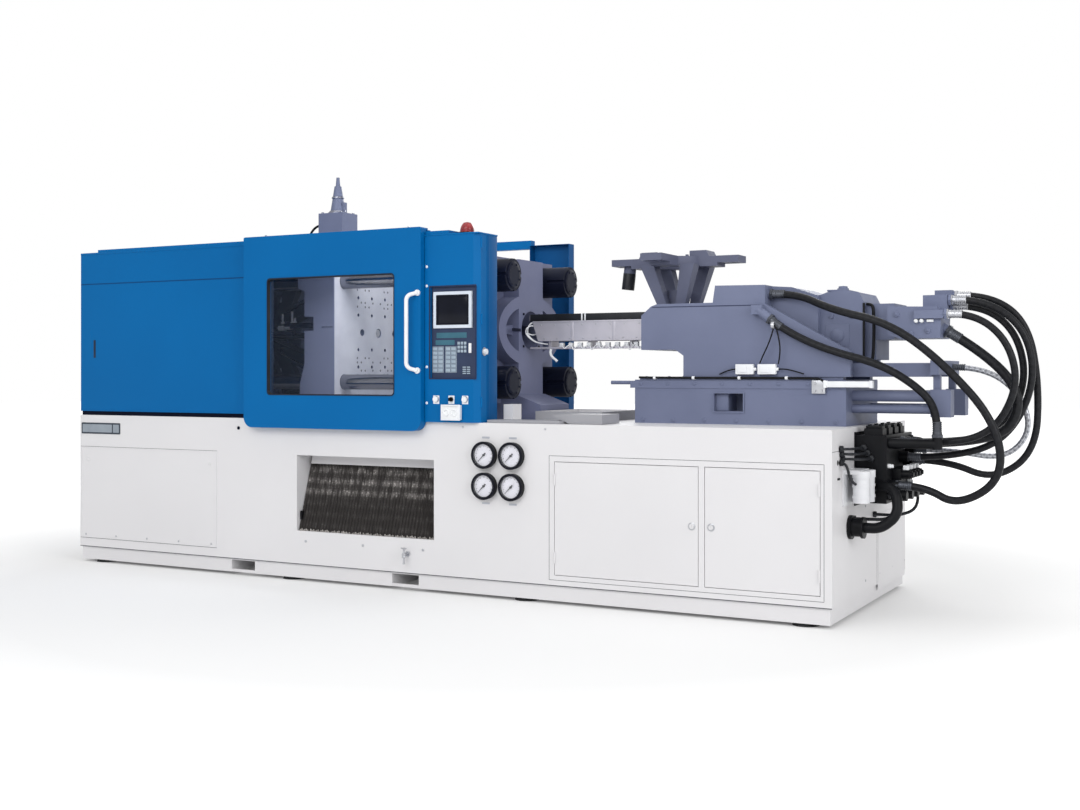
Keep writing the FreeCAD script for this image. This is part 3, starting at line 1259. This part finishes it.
def make_hopper_stand():
    """Cross-shaped mounting plate with slotted ears, on four splayed legs."""
    reach, arm, thick = s.hopper_reach, s.hopper_arm, s.hopper_plate
    x, z = s.hopper_x, s.hopper_plate_z
    along = Part.makeBox(2 * reach, arm, thick, vec(x - reach, -arm / 2, z))
    across = Part.makeBox(arm, 2 * reach, thick, vec(x - arm / 2, -reach, z))
    centre = Part.makeCylinder(1.05 * s.hopper_hole, thick, vec(x, 0, z))
    pads = []
    for side in (-1, 1):
        corners = [(48, 0), (48, s.hopper_pad), (190, s.hopper_pad), (206, 0)]
        points = [vec(x + side * across_x, -arm / 2, z + thick - 1 + up) for across_x, up in corners]
        pads.append(Part.Face(Part.makePolygon(points + points[:1])).extrude(vec(0, arm, 0)))
    plate = along.fuse([across, centre, *pads])
    tools = [Part.makeCylinder(0.7 * s.hopper_hole, thick + s.hopper_pad + 40, vec(x, 0, z - 5)),
             Part.makeCylinder(0.7 * s.hopper_hole + 7, s.hopper_pad + 10, vec(x, 0, z + thick))]
    for turn in range(4):
        angle = math.radians(90 * turn)
        out = vec(math.cos(angle), math.sin(angle), 0)
        start, end = vec(x, 0, z - 1) + out * (reach - 92), vec(x, 0, z - 1) + out * (reach - 28)
        for end_point in (start, end):
            tools.append(Part.makeCylinder(s.hopper_slot, thick + 2, end_point))
        slot = Part.makeBox(64, 2 * s.hopper_slot, thick + 2, vec(0, -s.hopper_slot, 0))
        slot.Placement = FreeCAD.Placement(start, FreeCAD.Rotation(vec(0, 0, 1), 90 * turn))
        tools.append(slot)
        thin = Part.makeBox(120, arm + 2, thick / 3, vec(0, -arm / 2 - 1, 0))
        thin.Placement = FreeCAD.Placement(vec(x, 0, z - 1) + out * (reach - 119), FreeCAD.Rotation(vec(0, 0, 1), 90 * turn))
        tools.append(thin)
    plate = plate.cut(tools)
    legs = []
    foot_z = s.carriage_shoulder - 22
    for sx in (-1, 1):
        for sy in (-1, 1):
            top = vec(x + sx * 118, sy * 118, z + 10)
            low = vec(x + sx * 46 + 14, sy * 96, foot_z)
            wires = []
            for centre_point, half in ((low, 26), (top, 40)):
                a, b = centre_point.x, centre_point.y
                wires.append(Part.makePolygon([vec(a - half, b - half, centre_point.z), vec(a + half, b - half, centre_point.z),
                                               vec(a + half, b + half, centre_point.z), vec(a - half, b + half, centre_point.z),
                                               vec(a - half, b - half, centre_point.z)]))
            legs.append(Part.makeLoft(wires, True, True))
    spout = Part.makeCylinder(34, 130, vec(x - 300, 0, z - 110), vec(0.12, 0, 1))
    throat = Part.makeCylinder(60, 110, vec(x, 0, foot_z))
    stand = plate.fuse(legs + [spout, throat])
    stand = stand.cut(Part.makeCylinder(26, 130, vec(x, 0, foot_z - 1)))
    flank = carriage_outline(s.carriage_bottom, s.carriage_top, s.carriage_shoulder, s.carriage_neck_x,
                             s.carriage_body_x, s.carriage_end_x)
    below = Part.Face(Part.makePolygon([vec(a, -s.carriage_half_width, b) for a, b in flank + flank[:1]]))
    keep("hopper_stand", made("hopper_stand_solid", stand.cut(below.extrude(vec(0, 2 * s.carriage_half_width, 0))).removeSplitter()))


def make_screw():
    tip = cone("screw_tip", "x", ("barrel_x - 18", "0", "axis_height"), "3", "screw_radius - 4", "60")
    core = rod("screw_core", "x", ("barrel_x + 40", "0", "axis_height"), "screw_radius - 8", "screw_end_x - barrel_x - 40")
    lands = [
        rod(f"screw_land_{i}", "x", (f"barrel_x + 90 + {i}*165", "0", "axis_height"), "screw_radius", "12") for i in range(6)
    ]
    keep("screw", fused("screw_whole", tip, core, *lands))


def make_injection_piston():
    disc = rod("piston_disc_block", "x", ("screw_end_x + 0.3", "0", "axis_height"), "piston_disc", "56")
    bar = rod("piston_bar", "x", ("screw_end_x + 50", "0", "axis_height"), "injection_rod", "500")
    keep("injection_piston", fused("piston", disc, bar))


def make_injection_cylinder():
    end = s.carriage_end_x
    half = 208
    axis = s.axis_height
    sloped = even_prism("injection_slope", [(end, axis - 184), (end, s.carriage_top - 6), (end + 110, axis + 192),
                                            (s.motor_x - 8, axis + 148), (s.motor_x, axis + 148), (s.motor_x, axis - 184)], half)
    z0, z1 = axis - 180, axis + 164
    motor = even_prism("injection_motor", [(s.motor_x, z0), (s.motor_x, z1 - 14), (s.motor_x + 40, z1), (s.motor_end_x, z1 + 6),
                                           (s.motor_end_x + 60, z1 - 6), (s.motor_end_x + 85, z1 - 54), (s.motor_end_x + 85, z0)],
                       "motor_half")
    low_end, step = s.rear_body_end_x - 90, s.block_bottom
    rear = even_prism("injection_rear", [(s.motor_end_x + 84, z0), (low_end, z0), (low_end, step), (s.rear_body_end_x, step),
                                         (s.rear_body_end_x, axis + 100), (s.motor_end_x + 84, axis + 100)], "132")
    bore = rod("injection_bore", "x", ("carriage_end_x - 1", "0", "axis_height"), "injection_rod + pin_clearance", "470")
    keep("injection_cylinder", cut("injection_cylinder_whole", fused("injection_cylinder_blank", sloped, motor, rear), bore))


# Connector blocks on the hose block: set back from its end, side, height over the axis, and half width
connectors = [(70, -60, 134, 27), (102, -180, 107, 25), (90, -130, 79, 24), (124, -281, 35, 20)]


def make_hose_block():
    x0, x1 = s.block_x, s.block_end_x
    z0, z1 = s.block_bottom, s.block_top
    profile = [(x0, z0 + 20), (x0, z1), (x1 - 20, z1 - 6), (x1, z1 - 50), (x1 - 4, z0), (x0 + 60, z0)]
    body = extruded("block_body", "xz", profile, "block_near", "block_wide")
    ports = []
    for i, (back, y, over, half) in enumerate(connectors):
        foot = min(over - half, s.block_top - s.axis_height - 24)
        ports.append(box(f"port_block_{i}", (f"block_end_x - {back}", f"{y} - {half}", f"axis_height + {foot}"),
                         (f"{back} + 13", 2 * half, over + half - foot)))
        ports.append(rod(f"port_{i}", "x", ("block_end_x - 2", y, f"axis_height + {over}"), "hose/2 + 2", "40"))
    ports.append(leaning_rod("port_low", (x1 + 22 - 60 * math.cos(math.radians(32)), -190,
                                          s.axis_height - 50 + 60 * math.sin(math.radians(32))), 32, "wide_hose/2 + 4", "60"))
    keep("hose_block", fused("block", body, *ports))


# ---------------------------------------------------------------- rear hydraulics

valve_ports = {
    "loop_one": (30, 196), "loop_two": (-60, 216), "loop_three": (-20, 288), "loop_four": (-205, 288),
    "drop": (-150, 290), "top": (-255, 86), "drain": (80, 246),
}


suction_route = [(62, -430, -110), (150, -430, -110), (232, -418, -40), (212, -385, 80), (90, -320, 90)]


def make_valves():
    """Valve block on the end wall, its hose ports, and the suction pipe that rises to it."""
    block = box("valve_block", ("bed_length + panel_raise + 1", "-330", "valve_bottom"), ("valve_depth", "540", "valve_height"))
    plate = box("valve_plate", ("bed_length", "-345", "valve_bottom - 15"), ("panel_raise + 1.5", "570", "valve_height + 30"))
    pieces = [block, plate]
    for i in range(4):
        y = -270 + i * 125
        pieces.append(rod(f"solenoid_{i}", "x", ("bed_length + valve_depth", y, "valve_bottom + 36"), "24", "90"))
        pieces.append(box(f"valve_cap_{i}", ("bed_length + 40", f"{y} - 38", "valve_bottom + valve_height - 1"), ("90", "76", "34")))
    for name, (y, up) in valve_ports.items():
        pieces.append(rod(f"valve_port_{name}", "x", ("bed_length + valve_depth", y, f"valve_bottom + {up}"), "27", "48"))
    pieces.append(rod("elbow_run", "x", ("bed_length + valve_depth", "-284", "valve_bottom + 292"), "24", "235"))
    pieces.append(rod("elbow_rise", "z", ("bed_length + valve_depth + 235", "-284", "valve_bottom + 268"), "24", "72"))
    pieces.append(rod("coupling_flange", "x", ("bed_length", "-430", "valve_bottom - 110"), "58", "16"))
    pieces.append(rod("coupling_body", "x", ("bed_length + 15", "-430", "valve_bottom - 110"), "44", "52"))
    pieces.append(rod("suction_collar", "x", ("bed_length + 60", "-430", "valve_bottom - 110"), "52", "14"))
    route = [(s.bed_length + x, y, s.valve_bottom + up) for x, y, up in suction_route]
    pieces.append(made("suction_pipe", swept(route, 25)[0]))
    keep("valve_block", fused("valves", *pieces))


def make_filters():
    """Two return filters with ribbed bowls on a bracket of the end wall."""
    pieces = []
    for i, y in enumerate((-495, -405)):
        bowl = rod(f"filter_bowl_{i}", "z", ("bed_length + 75", y, "575"), "40", "120")
        head = rod(f"filter_head_{i}", "z", ("bed_length + 75", y, "694"), "44", "34")
        ribs = [rod(f"filter_rib_{i}{k}", "z", ("bed_length + 75", y, f"598 + {k}*52"), "43", "12") for k in range(2)]
        pieces += [bowl, head, *ribs]
    arm = box("filter_arm", ("bed_length", "-540", "712"), ("76", "180", "20"))
    plate = box("filter_plate", ("bed_length", "-555", "560"), ("8", "190", "172"))
    keep("oil_filters", fused("filters", *pieces, arm, plate))


# ---------------------------------------------------------------- hoses


# Each hose starts at its fitting on the carriage and ends at its port on the valve block.
loop_routes = {
    "loop_one": [(5300, -60, 1576), (5450, -60, 1576), (5620, -30, 1440), (5668, 0, 1140), (5650, 26, 810),
                 (5450, 38, 664), (5230, 30, 756), (5058, 30, 756)],
    "loop_two": [(5300, -180, 1549), (5450, -180, 1549), (5634, -145, 1400), (5668, -115, 1130), (5520, -85, 856),
                 (5240, -60, 776), (5058, -60, 776)],
    "loop_three": [(5300, -130, 1521), (5430, -130, 1521), (5584, -108, 1390), (5626, -82, 1140), (5490, -50, 880),
                   (5220, -20, 848), (5058, -20, 848)],
    "loop_four": [(5300, -281, 1477), (5420, -281, 1477), (5572, -266, 1340), (5610, -240, 1120), (5480, -222, 895),
                  (5210, -205, 848), (5058, -205, 848)],
}
drop_lean, side_lean = math.radians(32), math.radians(37)
drop_route = [(5284, -190, 1392), (5284 + 270 * math.cos(drop_lean), -190, 1392 - 270 * math.sin(drop_lean)),
              (5626, -172, 1040), (5490, -150, 850), (5058, -150, 850)]
top_route = [(4414, -235, 1598), (4540, -235, 1598), (4750, -352, 1506), (5040, -384, 1436), (5290, -384, 1245),
             (5530, -378, 970), (5560, -345, 700), (5340, -290, 560), (5180, -255, 646), (5058, -255, 646)]
side_route = [(4434, -324, 1462), (4434 + 100 * math.cos(side_lean), -324, 1462 - 100 * math.sin(side_lean)),
              (4730, -348, 1306), (5000, -348, 1236), (5200, -330, 1100),
              (5245, -284, 990), (5245, -284, 900)]
drain_route = [(5245, 90, 1224), (5400, 90, 1224), (5574, 94, 1090), (5620, 97, 900), (5490, 94, 765),
               (5250, 80, 806), (5058, 80, 806)]


def make_hoses():
    loops = [made(name + "_tube", tube(name, route, s.loop_hose)) for name, route in loop_routes.items()]
    keep("loop_hoses", group("loops", *loops))
    keep("drop_hose", made("drop_tube", tube("drop", drop_route, s.wide_hose)))
    keep("top_hose", made("top_tube", tube("top", top_route, s.hose)))
    keep("side_hose", made("side_tube", tube("side", side_route, s.hose)))
    keep("drain_hose", made("drain_tube", tube("drain", drain_route, s.thin_hose)))


make_bed()
make_apron()
make_gauges()
make_feet()
make_doors()
make_pump()
make_clamp_cover()
make_gates()
make_rear_guard()
make_column()
make_console()
make_buttons()
make_beacon()
make_fixed_platen()
make_tie_bars()
make_nuts()
make_links(True)
make_links(False)
make_rear_platen()
make_moving_platen()
make_crosshead()
make_clamp_cylinder()
make_ejector()
make_safety_latch()
make_slab()
make_rear_guides()
make_carriage()
make_barrel()
make_barrel_cover()
make_hopper_stand()
make_screw()
make_injection_piston()
make_injection_cylinder()
make_hose_block()
make_valves()
make_filters()
make_hoses()
doc.recompute()

# ---------------------------------------------------------------- placement and export

for piece in nodes.values():
    if piece.TypeId in ("Part::Feature", "Part::Cylinder", "Part::Box", "Part::Extrusion"):
        here = piece.Placement.Base.x
        old = dict(piece.ExpressionEngine).get(".Placement.Base.x") or dict(piece.ExpressionEngine).get("Placement.Base.x")
        piece.setExpression("Placement.Base.x", f"({old or here}) - Sizes.end_x/2")
    else:
        piece.setExpression("Placement.Base.x", "-Sizes.end_x/2")
doc.recompute()

failed = [thing.Name for thing in doc.Objects if "Invalid" in thing.State or "Error" in thing.State]
if failed:
    raise RuntimeError(f"objects that failed: {failed}")
for node, piece in nodes.items():
    if piece.Shape.isNull() or not piece.Shape.isValid() or not piece.Shape.Solids:
        raise RuntimeError(f"{node} has no valid solid")

os.makedirs("parts", exist_ok=True)
low, high = vec(1e9, 1e9, 1e9), vec(-1e9, -1e9, -1e9)
for node, piece in nodes.items():
    piece.Shape.exportStep(f"parts/{node}.step")
    if "hose" in node and node != "hose_block":
        continue
    corner = piece.Shape.BoundBox
    low = vec(min(low.x, corner.XMin), min(low.y, corner.YMin), min(low.z, corner.ZMin))
    high = vec(max(high.x, corner.XMax), max(high.y, corner.YMax), max(high.z, corner.ZMax))
print(f"{len(nodes)} nodes, without the hoses from {tuple(round(v, 2) for v in low)} to {tuple(round(v, 2) for v in high)}")
